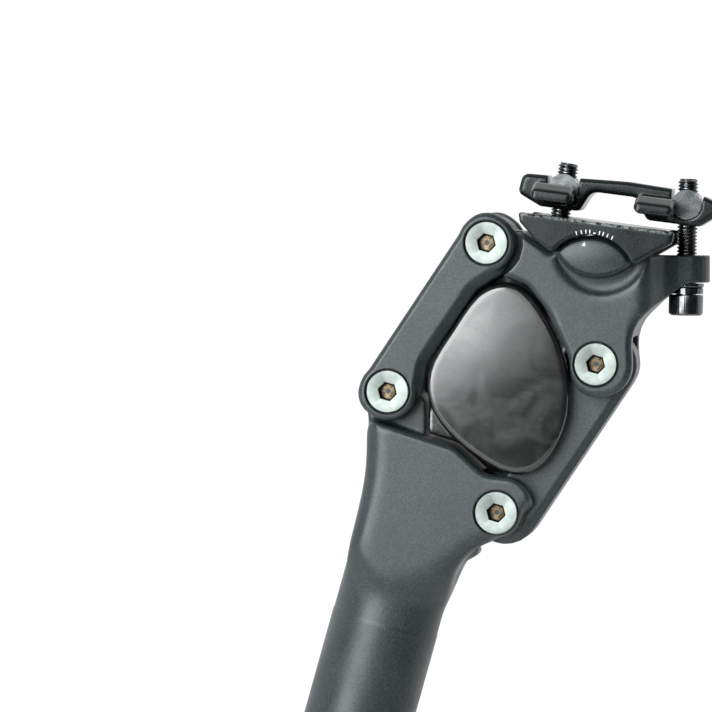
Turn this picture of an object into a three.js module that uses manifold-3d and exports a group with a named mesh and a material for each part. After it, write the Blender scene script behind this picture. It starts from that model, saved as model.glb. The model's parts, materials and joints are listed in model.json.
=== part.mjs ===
// Suspension seatpost for a bicycle: a post with a forged body, a four-pivot parallelogram linkage with an
// elastomer in its bay, and a two-bolt tilting clamp for saddle rails.
//
// Units are millimetres. The post frame has +Z up the post's axis, +X towards the rear of the bicycle and
// +Y to its right, with the origin at the centre of the post's bottom end. The linkage is drawn in the
// level frame: x to the rear and z straight up on a standing bicycle, with its origin at the lower front
// pivot. The post leans back in that frame by postLean.

import * as THREE from 'three';
import { mergeVertices } from 'three/addons/utils/BufferGeometryUtils.js';
import Module from 'manifold-3d';

const wasm = await Module();
wasm.setup();

// ---------------------------------------------------------------- driving dimensions

const degrees = Math.PI / 180;

// Post
const postRadius = 15.8;
const postBoreRadius = 13.5;
const postBoreDepth = 216;
const postEndChamfer = 0.8;
const postLean = 15.6 * degrees;

// Linkage: the lower front pivot in the post frame, and the other three in the level frame
const frontLowerInPost = { x: -15.8, z: 278 };
const frontLower = { x: 0, z: 0 };
const frontUpper = { x: 28.7, z: 43 };
const rearLower = { x: 31.6, z: -34.9 };
const rearUpper = { x: rearLower.x + frontUpper.x, z: rearLower.z + frontUpper.z };
const linkLength = Math.hypot(frontUpper.x, frontUpper.z);
const linkLean = Math.atan2(frontUpper.x, frontUpper.z);

// Widths, as half widths about the middle plane
const bodyHalfWidth = 18;
const earInnerHalfWidth = 11.3;
const tongueHalfWidth = 10;

// Pivots: a hollow-headed axle, a cap at each end and a flanged bush on each side
const axleRadius = 5;
const axleHalfLength = 15.2;
const earBoreRadius = 5.3;
const capRadius = 6.25;
const capInner = 15.7;
const capOuter = 17.75;
const capPocketRadius = 6.6;
const capPocketFloor = 15.4;
const capSocketAcrossFlats = 4;
const bushInnerRadius = 5.3;
const bushOuterRadius = 6;
const bushBoreRadius = 6.3;
const bushFlangeRadius = 7.6;
const bushFlangeInner = 10.3;
const bushFlangeOuter = 11;
const bushInnerEnd = 1.5;
const bossRadius = 8.4;
const tongueBossRadius = 7.9;
const linkClearanceRadius = 12.7;
const frontLinkSlotRadius = 11.6;

// Tilting clamp: the axis of its round seat in the level frame, and the slope of the saddle rails
const tiltAxis = { x: 58.8, z: 32 };
const railSlope = 7.4 * degrees;
const seatRadius = 13.2;
const cradleArcRadius = 13.5;
const railRadius = 3.5;
const railClearance = 0.1;
const railHeight = 20.2;
const railHalfSpacing = 21.9;
const cradleTop = 17.2;
const cradleHalfWidth = 26;
const cradleBeamInner = 18.6;

// Clamp bolts, M6
const threadRadius = 2.9;
const boltHoleRadius = 3.9;
const counterboreRadius = 6.4;
const headClearanceRadius = 8;
const headClearanceDepth = 11.5;
const boltHeadRadius = 5;
const boltHeadHeight = 6;
const boltSocketAcrossFlats = 5;
const nutRadius = 4.3;
const nutHalfLength = 8;
const nutBoreRadius = 3.35;
const nutHeight = 25.3;
const washerStack = 3.6;
const domeRadius = 7;
const swingHeight = 3.6;
const partGap = 0.3;

const arcStep = 15 * degrees;
const pinSides = 20;
const roundSides = 24;
const smoothSides = 40;

// ---------------------------------------------------------------- materials

function material(colour, roughness, metalness) {
  return new THREE.MeshStandardMaterial({ color: colour, roughness, metalness });
}

const forgedBlack = material(0x2c2f33, 0.5, 0.6);
const clampBlack = material(0x1d1f21, 0.45, 0.5);
const boltBlack = material(0x121314, 0.4, 0.7);
const turnedSilver = material(0xc9cfcb, 0.3, 1.0);
const bronze = material(0x9a7350, 0.35, 1.0);
const bushGrey = material(0x4a4a48, 0.6, 0.2);
const rubber = material(0x1a1b1c, 0.6, 0.0);

// ---------------------------------------------------------------- solids

// A closed three.js geometry as a solid that can be joined and cut
function solid(geometry) {
  const bare = geometry.clone();
  bare.deleteAttribute('normal');
  bare.deleteAttribute('uv');
  const merged = mergeVertices(bare, 1e-4);
  const corners = [];
  for (let i = 0; i < merged.index.count; i += 3) {
    const a = merged.index.getX(i);
    const b = merged.index.getX(i + 1);
    const c = merged.index.getX(i + 2);
    if (a !== b && b !== c && c !== a) corners.push(a, b, c);
  }
  return new wasm.Manifold(new wasm.Mesh({
    numProp: 3,
    vertProperties: new Float32Array(merged.attributes.position.array),
    triVerts: new Uint32Array(corners),
  }));
}

function union(...solids) {
  return solids.reduce((whole, next) => whole.add(next));
}

function cut(whole, ...tools) {
  return tools.reduce((rest, tool) => rest.subtract(tool), whole);
}

function mesh(name, shape, look) {
  const { vertProperties, triVerts, numProp } = shape.getMesh();
  const geometry = new THREE.BufferGeometry();
  const positions = new Float32Array((vertProperties.length / numProp) * 3);
  for (let v = 0; v < positions.length / 3; v += 1) {
    positions.set(vertProperties.subarray(v * numProp, v * numProp + 3), v * 3);
  }
  geometry.setAttribute('position', new THREE.BufferAttribute(positions, 3));
  geometry.setIndex(new THREE.BufferAttribute(new Uint32Array(triVerts), 1));
  geometry.computeVertexNormals();
  const piece = new THREE.Mesh(geometry, look);
  piece.name = name;
  return piece;
}

// ---------------------------------------------------------------- outlines

// The points of a polygon whose corners [x, z, radius] are rounded by their radii
function rounded(corners) {
  const points = [];
  corners.forEach(([x, z, radius = 0], i) => {
    const here = new THREE.Vector2(x, z);
    const [beforeX, beforeZ] = corners[(i + corners.length - 1) % corners.length];
    const [afterX, afterZ] = corners[(i + 1) % corners.length];
    const toBefore = new THREE.Vector2(beforeX, beforeZ).sub(here).normalize();
    const toAfter = new THREE.Vector2(afterX, afterZ).sub(here).normalize();
    const opening = Math.acos(THREE.MathUtils.clamp(toBefore.dot(toAfter), -1, 1));
    const turn = Math.PI - opening;
    if (radius === 0 || turn < 1e-3) {
      points.push(here);
      return;
    }
    const centre = toBefore.clone().add(toAfter).normalize();
    centre.multiplyScalar(radius / Math.sin(opening / 2)).add(here);
    const start = toBefore.clone().multiplyScalar(radius / Math.tan(opening / 2)).add(here).sub(centre);
    const side = Math.sign(toBefore.cross(toAfter));
    const steps = Math.max(2, Math.ceil(turn / arcStep));
    for (let k = 0; k <= steps; k += 1) {
      const spun = start.clone().rotateAround(new THREE.Vector2(), side * turn * (k / steps) * -1);
      points.push(spun.add(centre));
    }
  });
  return points;
}

// A plate whose outline lies in the X-Z plane and whose thickness runs from y0 to y1
function plate(points, y0, y1, chamfer = 0) {
  const geometry = new THREE.ExtrudeGeometry(new THREE.Shape(points), {
    depth: y1 - y0 - 2 * chamfer,
    bevelEnabled: chamfer > 0,
    bevelThickness: chamfer,
    bevelSize: chamfer,
    bevelOffset: -chamfer,
    bevelSegments: 1,
    steps: 1,
  });
  geometry.rotateX(Math.PI / 2);
  geometry.translate(0, y1 - chamfer, 0);
  return geometry;
}

function plateSolid(corners, y0, y1, chamfer = 0) {
  return solid(plate(rounded(corners), y0, y1, chamfer));
}

function symmetricPlate(corners, halfWidth, chamfer = 0) {
  return plateSolid(corners, -halfWidth, halfWidth, chamfer);
}

// A round bar along Y about the point {x, z}
function bar(centre, radius, y0, y1, sides = roundSides) {
  const geometry = new THREE.CylinderGeometry(radius, radius, y1 - y0, sides);
  geometry.translate(centre.x, (y0 + y1) / 2, centre.z);
  return solid(geometry);
}

function symmetricBar(centre, radius, halfLength, sides = roundSides) {
  return bar(centre, radius, -halfLength, halfLength, sides);
}

// Two equal bars, one on each side of the middle plane
function pairOfBars(centre, radius, inner, outer, sides = roundSides) {
  return union(bar(centre, radius, inner, outer, sides), bar(centre, radius, -outer, -inner, sides));
}

// A solid of revolution about +Z from [radius, z] pairs, closed on the axis
function turned(profile, sides = roundSides) {
  const points = profile.map(([radius, z]) => new THREE.Vector2(radius, z));
  const geometry = new THREE.LatheGeometry(points, sides);
  geometry.rotateX(Math.PI / 2);
  return solid(geometry);
}

// A ring of revolution about +Z, whose [radius, z] profile closes on itself
function turnedRing(profile, sides = roundSides) {
  return turned([...profile, profile[0]], sides);
}

// A round bar along +Z between two heights
function upright(radius, z0, z1, sides = roundSides) {
  return turned([[0, z0], [radius, z0], [radius, z1], [0, z1]], sides);
}

// A hexagonal bar along +Z, measured across its flats
function hexagon(acrossFlats, z0, z1) {
  return upright(acrossFlats / Math.sqrt(3), z0, z1, 6);
}

// Places a solid drawn about the origin with +Z up: leans it to the rear by an angle, then moves it
function placed(shape, centre, lean = 0) {
  const matrix = new THREE.Matrix4().makeRotationY(lean);
  matrix.setPosition(centre.x, 0, centre.z);
  return shape.transform(matrix.elements);
}

// ---------------------------------------------------------------- frames

// A point of the post frame, given in the level frame
function fromPost(x, z) {
  const dx = x - frontLowerInPost.x;
  const dz = z - frontLowerInPost.z;
  return [
    dx * Math.cos(postLean) + dz * Math.sin(postLean),
    dz * Math.cos(postLean) - dx * Math.sin(postLean),
  ];
}

// A point of the clamp frame, whose x runs along the rails from the tilt axis, given in the level frame
function fromClamp(x, z) {
  return {
    x: tiltAxis.x + x * Math.cos(railSlope) + z * Math.sin(railSlope),
    z: tiltAxis.z + z * Math.cos(railSlope) - x * Math.sin(railSlope),
  };
}

function inLevelFrame(...pieces) {
  const frame = new THREE.Group();
  frame.position.set(frontLowerInPost.x, 0, frontLowerInPost.z);
  frame.rotation.y = -postLean;
  frame.add(...pieces);
  return frame;
}

function inLinkFrame(pivot, ...pieces) {
  const frame = new THREE.Group();
  frame.position.set(pivot.x, 0, pivot.z);
  frame.rotation.y = linkLean;
  frame.add(...pieces);
  return frame;
}

function inClampFrame(...pieces) {
  const frame = new THREE.Group();
  frame.position.set(tiltAxis.x, 0, tiltAxis.z);
  frame.rotation.y = railSlope;
  frame.add(...pieces);
  return frame;
}

// ---------------------------------------------------------------- bolt lines, in the clamp frame

function boltLine(seat, nut) {
  const lean = Math.atan2(nut.x - seat.x, nut.z - seat.z);
  return { seat, nut, lean, length: Math.hypot(nut.x - seat.x, nut.z - seat.z) };
}

const frontBolt = boltLine({ x: -13, z: 3.8 }, { x: -12.2, z: nutHeight });
const rearBolt = boltLine({ x: 26.4, z: 2.9 }, { x: 23.9, z: nutHeight });
const threadAboveNut = 7.5;

// A solid drawn about the bolt's seat with +Z towards its nut, given in the level frame
function onBolt(bolt, shape) {
  return placed(shape, fromClamp(bolt.seat.x, bolt.seat.z), railSlope + bolt.lean);
}

// ---------------------------------------------------------------- post

function postTube() {
  const [r, c] = [postRadius, postEndChamfer];
  const top = frontLowerInPost.z - 34;
  return turned([[0, 0], [r - c, 0], [r, c], [r, top], [0, top]], smoothSides);
}

function postBore() {
  const shoulder = 6;
  const [r, c] = [postBoreRadius, postEndChamfer];
  return turned([
    [0, -1], [r + c + 1, -1], [r, c], [r, postBoreDepth - shoulder], [r - shoulder, postBoreDepth],
    [0, postBoreDepth],
  ], smoothSides);
}

// The forged body above the tube: flat sides that run out into the round tube, and a rounded front flank
function forgedBody() {
  const tubeTop = 212;
  const bend = [-6.8, -24.3, 60];
  const outline = [
    [...fromPost(1.2 - postRadius, tubeTop), 0],
    bend,
    [-6.8, -7.8, 2.4],
    [19.6, -16.2, 6],
    [28.4, -24.2, 6],
    [40.4, -25.2, 8],
    [42.3, -33.4, 8],
    [42.2, -41.6, 8],
    [21.7, -46, 13],
    [...fromPost(postRadius, tubeTop), 0],
  ];
  const flank = [
    [...fromPost(1.2 - postRadius, tubeTop - 40), 0],
    bend,
    [-6.8, 20, 0],
    [80, 20, 0],
    [80, -110, 0],
  ];
  const flankChamfer = 3.8;
  return symmetricPlate(outline, bodyHalfWidth, 1).intersect(symmetricPlate(flank, bodyHalfWidth, flankChamfer));
}

// Trims the forged body's lower end to a cone about the post's axis
function runOutCone() {
  const start = 221;
  const slope = 0.55;
  const height = 90;
  return turned([
    [0, start - 12], [postRadius - 0.1, start - 12], [postRadius - 0.1, start],
    [postRadius + height * slope, start + height], [0, start + height],
  ], smoothSides);
}

// The tongue that carries the front link's lower pivot
function lowerTongue() {
  const foot = [[-7.3, 0], [-6.6, -9], [-6.6, -14], [10.2, -19], [10.2, -3.4], [tongueBossRadius, 0]];
  return union(
    symmetricBar(frontLower, tongueBossRadius, tongueHalfWidth),
    symmetricPlate(foot, tongueHalfWidth),
  );
}

// The slot between the ears that carry the rear link's lower pivot
function rearLinkSlot() {
  const { x, z } = rearLower;
  const sweep = [[x, z], [x + 6, z - 30], [x + 50, z - 30], [x + 50, z + 40], [x - 6, z + 40]];
  return union(
    symmetricBar(rearLower, linkClearanceRadius, earInnerHalfWidth, smoothSides),
    symmetricPlate(sweep, earInnerHalfWidth),
  );
}

// The wall behind the slot shows under the ears as a short narrow rib
function slotRib() {
  const ribHalfWidth = 6.5;
  const outline = [[24, -37], [18.5, -48.8], [21.6, -49.8], [24.2, -48.8], [26.2, -47.4], [27.9, -44.6]];
  return symmetricPlate(outline, ribHalfWidth);
}

function pivotBores(pivot) {
  return union(
    symmetricBar(pivot, earBoreRadius, bodyHalfWidth + 1),
    pairOfBars(pivot, capPocketRadius, capPocketFloor, bodyHalfWidth + 5),
  );
}

function bushBore(pivot) {
  return symmetricBar(pivot, bushBoreRadius, tongueHalfWidth + 1);
}

function postBody() {
  const toPost = new THREE.Matrix4().makeRotationY(-postLean);
  toPost.setPosition(frontLowerInPost.x, 0, frontLowerInPost.z);
  const raise = (shape) => shape.transform(toPost.elements);
  const drain = placed(upright(1.7, 0, 20), { x: 17.2, z: -54.2 }, postLean + 90 * degrees);
  const body = raise(forgedBody()).intersect(runOutCone());
  return cut(
    union(postTube(), body, raise(lowerTongue()), raise(slotRib())),
    raise(rearLinkSlot()),
    raise(pivotBores(rearLower)),
    raise(bushBore(frontLower)),
    raise(drain),
    postBore(),
  );
}

// ---------------------------------------------------------------- links, in the link frame

// Full width between its ends, forked round the tongues of the body and the head, with a deep chamfer
// along the side of the bay
function frontLink() {
  const top = { x: 0, z: linkLength };
  const bottom = { x: 0, z: 0 };
  const r = bossRadius;
  const front = -8.1;
  const web = 5;
  const baySide = [
    [8.6, 5, 3.2],
    [web, 13, 7],
    [web, linkLength - 13, 7],
    [8.6, linkLength - 5, 3.2],
  ];
  const outline = [
    [front, -r, 7],
    [r, -r, r - 0.1],
    ...baySide,
    [r, linkLength + r, r - 0.1],
    [front, linkLength + r, 7],
  ];
  const beyond = 14;
  const bayChamfer = 3;
  const bevelled = symmetricPlate([
    [-beyond, -beyond, 0],
    [8.6, -beyond, 0],
    ...baySide,
    [8.6, linkLength + beyond, 0],
    [-beyond, linkLength + beyond, 0],
  ], bodyHalfWidth, bayChamfer);
  return cut(
    union(
      symmetricPlate(outline, bodyHalfWidth, 1.2).intersect(bevelled),
      roundBoss(bottom, r, 1),
      roundBoss(top, r, 1),
    ),
    symmetricBar(bottom, frontLinkSlotRadius, earInnerHalfWidth),
    symmetricBar(top, frontLinkSlotRadius, earInnerHalfWidth),
    pivotBores(bottom),
    pivotBores(top),
  );
}

// A full-width round boss with chamfered rims
function roundBoss(centre, radius, chamfer) {
  const half = bodyHalfWidth;
  const boss = turned([
    [0, -half], [radius - chamfer, -half], [radius, chamfer - half], [radius, half - chamfer],
    [radius - chamfer, half], [0, half],
  ]);
  const matrix = new THREE.Matrix4().makeRotationX(-Math.PI / 2);
  matrix.setPosition(centre.x, 0, centre.z);
  return boss.transform(matrix.elements);
}

// A narrower plate that works between the ears of the body and the head
function rearLink() {
  const top = { x: 0, z: linkLength };
  const bottom = { x: 0, z: 0 };
  const [front, rear] = [-8.8, 11.3];
  const [lowerEnd, upperEnd] = [8.8, 10.4];
  const waist = -5.5;
  const outline = [
    [front, -lowerEnd, 8.5],
    [rear, -lowerEnd, 10],
    [rear, linkLength + upperEnd, 10],
    [front, linkLength + upperEnd, 8.8],
    [front, linkLength - 1, 3],
    [waist, linkLength - 6, 4],
    [waist, 6, 4],
    [front, 1, 3],
  ];
  return cut(symmetricPlate(outline, tongueHalfWidth, 2), bushBore(top), bushBore(bottom));
}

// ---------------------------------------------------------------- head, in the level frame

// The flat-sided forging under the clamp, seen from the side
function headSlab() {
  const outline = [
    [36, 46.3, 0],
    [38.9, 46.2, 0],
    [47.6, 40.1, 2],
    [73.2, 38.3, 2],
    [75, 39.3, 2],
    [94, 39.3, 0],
    [94, 31.4, 0],
    [86, 31.4, 4],
    [79.2, 26.8, 9],
    [70.2, 18.6, 12],
    [71.4, -1.4, 9.2],
    [53.4, -1.4, 7.4],
    [52.6, 10, 12],
    [46.6, 22.8, 18],
    [40.4, 30.9, 5],
    [33.2, 33.6, 0],
    [30, 36, 0],
  ];
  return symmetricPlate(outline, bodyHalfWidth, 1.4);
}

// The head from above: full width in front, drawn in to a round boss about the rear bolt
function headPlan() {
  const armRadius = 6.8;
  const boltX = 85.4;
  const side = [
    [20, bodyHalfWidth + 1, 0], [74.5, bodyHalfWidth + 1, 9], [80.5, armRadius + 0.6, 9],
    [boltX + armRadius, armRadius, armRadius - 0.1],
  ];
  const otherSide = side.map(([x, y, radius]) => [x, -y, radius]).reverse();
  const geometry = new THREE.ExtrudeGeometry(new THREE.Shape(rounded([...side, ...otherSide])), {
    depth: 80,
    bevelEnabled: false,
  });
  geometry.translate(0, 0, -20);
  return solid(geometry);
}

// Room for the front link's forked end beside the head's tongue
function frontLinkScallop() {
  const scallopRadius = 10.5;
  const corner = [[10, 60], [10, 34.6], [33.6, 34.6], [frontUpper.x + 8, frontUpper.z], [34, 60]];
  const outer = bodyHalfWidth + 1;
  const beside = (y0, y1) => union(
    bar(frontUpper, scallopRadius, y0, y1, smoothSides),
    plateSolid(corner, y0, y1),
  );
  return union(beside(tongueHalfWidth, outer), beside(-outer, -tongueHalfWidth));
}

function upperTongue() {
  const neck = [
    [frontUpper.x, frontUpper.z - tongueBossRadius], [40, 35.4], [42, 44], [38.8, 46],
    [frontUpper.x + 4, frontUpper.z + 6.8],
  ];
  return union(
    symmetricBar(frontUpper, tongueBossRadius, tongueHalfWidth),
    symmetricPlate(neck, tongueHalfWidth),
  );
}

// The round seat for the cradle ends on each side in a lens-shaped boss with a valley under it
const lensHalfWidth = 22;

function seatLens() {
  const lowerArc = fromClamp(0.3, 15.5);
  const lens = (halfWidth, inset) => symmetricBar(tiltAxis, seatRadius - inset, halfWidth, smoothSides)
    .intersect(symmetricBar(lowerArc, 14.1 - inset, halfWidth, smoothSides));
  return union(lens(lensHalfWidth - 1, 0), lens(lensHalfWidth, 0.9));
}

function seatValley() {
  const valleyDepth = 1.8;
  const valleyRadius = 13.6;
  const centre = fromClamp(2, 10.2);
  return pairOfBars(centre, valleyRadius, bodyHalfWidth - valleyDepth, bodyHalfWidth + 1, smoothSides);
}

function seatBar() {
  return symmetricBar(tiltAxis, seatRadius, bodyHalfWidth, smoothSides);
}

function head() {
  const slab = union(headSlab(), seatBar()).intersect(headPlan());
  const counterbore = (bolt) => onBolt(bolt, turned([
    [0, -20], [counterboreRadius, -20], [headClearanceRadius, -headClearanceDepth], [counterboreRadius, 0], [0, 0],
  ]));
  const trimmed = union(cut(slab, seatValley(), frontLinkScallop()), seatLens(), upperTongue());
  const above = [
    [25, 47], [39, 46.4], [47.6, 40.2], [47.6, 60], [20, 60],
  ];
  return cut(
    trimmed,
    cut(symmetricPlate(above, bodyHalfWidth + 8), symmetricBar(frontUpper, tongueBossRadius, tongueHalfWidth)),
    symmetricBar(rearUpper, linkClearanceRadius, earInnerHalfWidth, smoothSides),
    pivotBores(rearUpper),
    bushBore(frontUpper),
    onBolt(frontBolt, upright(boltHoleRadius, -30, 30)),
    onBolt(rearBolt, upright(boltHoleRadius, -30, 30)),
    counterbore(frontBolt),
    counterbore(rearBolt),
  );
}

// ---------------------------------------------------------------- elastomer, in the level frame

// A closed smooth curve through the given [x, z] points
function smoothLoop(points, count) {
  const curve = new THREE.CatmullRomCurve3(points.map(([x, z]) => new THREE.Vector3(x, z, 0)), true);
  return curve.getPoints(count).slice(0, -1).map(({ x, y }) => new THREE.Vector2(x, y));
}

// A teardrop with wide side flanges and a core that fills the bay up to the rear link
function elastomer() {
  const flangeHalfWidth = 16.5;
  const coreHalfWidth = 9.4;
  const outline = smoothLoop([
    [33.6, 31.3], [39.6, 29.2], [47.4, 18.9], [52, 6], [51.6, -8.8], [44.6, -21.2], [36.4, -24],
    [21.6, -15.8], [12.6, -4.8], [11.6, 5.6], [18.2, 17.6], [26.6, 28.6],
  ], 44);
  const core = [
    [13.5, 10, 0], [11.2, 1, 0], [10.9, -12.4, 1], [20, -15.3, 4], [28.8, -23.1, 4], [40, -24.4, 3], [52, 0, 10],
    [51.8, 9, 8], [45.8, 22.2, 14], [39.8, 30, 4], [34, 32.6, 2], [28.7, 31, 1],
  ];
  const linkSide = -6.2;
  const linkEndClearance = 11;
  const corridor = placed(
    symmetricPlate([[linkSide, -30], [40, -30], [40, 80], [linkSide, 80]], earInnerHalfWidth),
    rearLower,
    linkLean,
  );
  const boltRelief = onBolt(frontBolt, upright(headClearanceRadius, -washerStack - boltHeadHeight - 1.6, 10));
  return cut(
    union(
      solid(plate(outline, -flangeHalfWidth, flangeHalfWidth, 1)),
      symmetricPlate(core, coreHalfWidth),
    ),
    corridor,
    symmetricBar(rearLower, linkEndClearance, earInnerHalfWidth),
    symmetricBar(rearUpper, linkEndClearance, earInnerHalfWidth),
    boltRelief,
  );
}

// ---------------------------------------------------------------- clamp, in the clamp frame

function rail(side, radius) {
  const geometry = new THREE.CylinderGeometry(radius, radius, 120, roundSides);
  geometry.rotateZ(Math.PI / 2);
  geometry.translate(0, side * railHalfSpacing, railHeight);
  return solid(geometry);
}

function railGrooves() {
  const radius = railRadius + railClearance;
  return union(rail(1, radius), rail(-1, radius));
}

function boltPassage(bolt) {
  return placed(upright(boltHoleRadius, -30, 40), bolt.seat, bolt.lean);
}

const clampCentre = { x: 0, z: 0 };

// The lower half of the clamp: a beam under each rail, joined across the round seat
function lowerCradle() {
  const beam = [
    [-22.6, cradleTop, 0.6],
    [-21.8, 14.4, 1.2],
    [-16.6, 9.8, 3],
    [-12.4, 7.2, 1.5],
    [-9, 6.8, 0],
    [9, 6, 0],
    [13, 7, 1.5],
    [22.3, 14, 1.2],
    [22.5, cradleTop, 0.6],
  ];
  const bridge = [
    [-19, cradleTop], [-19, 14.6], [-9.2, 9.8], [9.2, 9.8], [19, 14.6], [19, cradleTop],
  ];
  const beams = union(
    plateSolid(beam, cradleBeamInner, cradleHalfWidth, 0.5),
    plateSolid(beam, -cradleHalfWidth, -cradleBeamInner, 0.5),
  );
  return cut(
    union(beams, symmetricPlate(bridge, cradleBeamInner + 1)),
    symmetricBar(clampCentre, cradleArcRadius, cradleHalfWidth + 1, smoothSides),
    railGrooves(),
    boltPassage(frontBolt),
    boltPassage(rearBolt),
  );
}

// One pair of wings: hooks over both rails from above
function wings(x0, x1) {
  const halfWidth = 26.2;
  const skirt = 21.4;
  const under = 21.1;
  const shoulder = 24.3;
  const crown = 26.3;
  const section = [
    [-halfWidth, skirt, 0],
    [-halfWidth, shoulder, 1.6],
    [-21, crown, 3],
    [21, crown, 3],
    [halfWidth, shoulder, 1.6],
    [halfWidth, skirt, 0],
    [24, skirt, 0],
    [18, under, 0],
    [-18, under, 0],
    [-24, skirt, 0],
  ];
  const chamfer = 1;
  const geometry = new THREE.ExtrudeGeometry(new THREE.Shape(rounded(section)), {
    depth: x1 - x0 - 2 * chamfer,
    bevelEnabled: true,
    bevelThickness: chamfer,
    bevelSize: chamfer,
    bevelOffset: -chamfer,
    bevelSegments: 1,
    steps: 1,
  });
  geometry.rotateX(Math.PI / 2);
  geometry.rotateZ(Math.PI / 2);
  geometry.translate(x0 + chamfer, 0, 0);
  return solid(geometry);
}

function upperClamp() {
  const spineHalfWidth = 8.8;
  const spine = [
    [-25, 22.5, 2],
    [-24.2, 28.3, 2.2],
    [-8.4, 28.9, 1.5],
    [6.2, 29.7, 30],
    [26.4, 29.1, 4],
    [34, 26.5, 1.2],
    [33.6, 23.5, 1.2],
    [28.4, 19.4, 2],
    [13, 19.4, 2],
    [9.8, 25.5, 3],
    [-3.8, 25.5, 3],
    [-6.6, 19.4, 2],
    [-18, 19.4, 2],
  ];
  const trough = (bolt) => union(
    symmetricBar(bolt.nut, nutRadius + partGap, spineHalfWidth + 1),
    symmetricPlate([
      [bolt.nut.x - nutRadius - partGap, bolt.nut.z], [bolt.nut.x + nutRadius + partGap, bolt.nut.z],
      [bolt.nut.x + nutRadius + partGap, 40], [bolt.nut.x - nutRadius - partGap, 40],
    ], spineHalfWidth + 1),
  );
  return cut(
    union(symmetricPlate(spine, spineHalfWidth, 1), wings(-19.8, -8), wings(10, 21.2)),
    railGrooves(),
    trough(frontBolt),
    trough(rearBolt),
    boltPassage(frontBolt),
    boltPassage(rearBolt),
  );
}

function barrelNut(bolt) {
  const across = placed(upright(nutBoreRadius, -20, 20), { x: 0, z: 0 }, bolt.lean);
  return cut(symmetricBar({ x: 0, z: 0 }, nutRadius, nutHalfLength), across);
}

// A socket-head bolt, drawn from its seat with +Z towards the nut
function clampBolt(bolt) {
  const under = -washerStack;
  const top = bolt.length + threadAboveNut;
  const c = 0.6;
  const body = turned([
    [0, under - boltHeadHeight], [boltHeadRadius - c, under - boltHeadHeight],
    [boltHeadRadius, under - boltHeadHeight + c], [boltHeadRadius, under], [threadRadius, under],
    [threadRadius, top - c], [threadRadius - c, top], [0, top],
  ]);
  return body.subtract(hexagon(boltSocketAcrossFlats, under - boltHeadHeight - 1, under - 3));
}

// The height of a ball face about the bolt's swing centre, at a distance from the bolt's axis
function ballFace(ballRadius, radius) {
  return swingHeight - Math.sqrt(ballRadius * ballRadius - radius * radius);
}

function ballArc(ballRadius, from, to) {
  const steps = 2;
  return Array.from({ length: steps + 1 }, (_, k) => {
    const radius = from + (to - from) * (k / steps);
    return [radius, ballFace(ballRadius, radius)];
  });
}

// The upper washer: flat against its seat and domed below
function domeWasher() {
  const [inner, outer] = [4.2, 5.2];
  return turnedRing([...ballArc(domeRadius, inner, outer), [outer, -partGap], [inner, -partGap]]);
}

// The lower washer: hollowed above to fit the dome and flat against the bolt's head
function cupWasher() {
  const [inner, outer] = [3.3, 5];
  const base = partGap - washerStack;
  return turnedRing([[inner, base], [outer, base], ...ballArc(domeRadius + partGap, outer, inner)]);
}

// ---------------------------------------------------------------- pivot hardware

function axle(name) {
  const c = 0.4;
  const [r, h] = [axleRadius, axleHalfLength];
  const dimple = 1;
  const pin = turned([
    [0, dimple - h], [dimple, -h], [r - c, -h], [r, c - h], [r, h - c], [r - c, h], [dimple, h], [0, h - dimple],
  ], pinSides);
  const piece = mesh(name, pin, bronze);
  piece.rotation.x = Math.PI / 2;
  return piece;
}

// A flat screw cap with a hexagonal socket through it
function cap(name, side) {
  const c = 0.3;
  const disc = turned([
    [0, capInner], [capRadius, capInner], [capRadius, capOuter - c], [capRadius - c, capOuter], [0, capOuter],
  ]);
  const piece = mesh(name, disc.subtract(hexagon(capSocketAcrossFlats, 0, 30)), turnedSilver);
  piece.rotation.x = (-Math.PI / 2) * side;
  return piece;
}

function bush(name, side) {
  const ring = turnedRing([
    [bushInnerRadius, bushInnerEnd], [bushOuterRadius, bushInnerEnd], [bushOuterRadius, bushFlangeInner],
    [bushFlangeRadius, bushFlangeInner], [bushFlangeRadius, bushFlangeOuter], [bushInnerRadius, bushFlangeOuter],
  ], pinSides);
  const piece = mesh(name, ring, bushGrey);
  piece.rotation.x = (-Math.PI / 2) * side;
  return piece;
}

function pivotSet(pivotName, pivot) {
  const set = new THREE.Group();
  set.position.set(pivot.x, 0, pivot.z);
  set.add(axle(`axle_${pivotName}`));
  for (const [sideName, side] of [['left', -1], ['right', 1]]) {
    set.add(cap(`cap_${sideName}_${pivotName}`, side));
    set.add(bush(`bush_${sideName}_${pivotName}`, side));
  }
  return set;
}

// ---------------------------------------------------------------- assembly

function boltGroup(place, bolt) {
  const frame = new THREE.Group();
  frame.position.set(bolt.seat.x, 0, bolt.seat.z);
  frame.rotation.y = bolt.lean;
  frame.add(
    mesh(`${place}_clamp_bolt`, clampBolt(bolt), boltBlack),
    mesh(`${place}_dome_washer`, domeWasher(), boltBlack),
    mesh(`${place}_cup_washer`, cupWasher(), boltBlack),
  );
  return frame;
}

function nutMesh(name, bolt) {
  const piece = mesh(name, barrelNut(bolt), boltBlack);
  piece.position.set(bolt.nut.x, 0, bolt.nut.z);
  return piece;
}

const seatpost = new THREE.Group();
seatpost.add(
  mesh('post_body', postBody(), forgedBlack),
  inLevelFrame(
    inLinkFrame(frontLower, mesh('front_link', frontLink(), forgedBlack)),
    inLinkFrame(rearLower, mesh('rear_link', rearLink(), forgedBlack)),
    mesh('head', head(), forgedBlack),
    mesh('elastomer', elastomer(), rubber),
    pivotSet('front_lower', frontLower),
    pivotSet('front_upper', frontUpper),
    pivotSet('rear_lower', rearLower),
    pivotSet('rear_upper', rearUpper),
    inClampFrame(
      mesh('lower_cradle', lowerCradle(), clampBlack),
      mesh('upper_clamp', upperClamp(), clampBlack),
      nutMesh('front_barrel_nut', frontBolt),
      nutMesh('rear_barrel_nut', rearBolt),
      boltGroup('front', frontBolt),
      boltGroup('rear', rearBolt),
    ),
  ),
);

export default seatpost;
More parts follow.
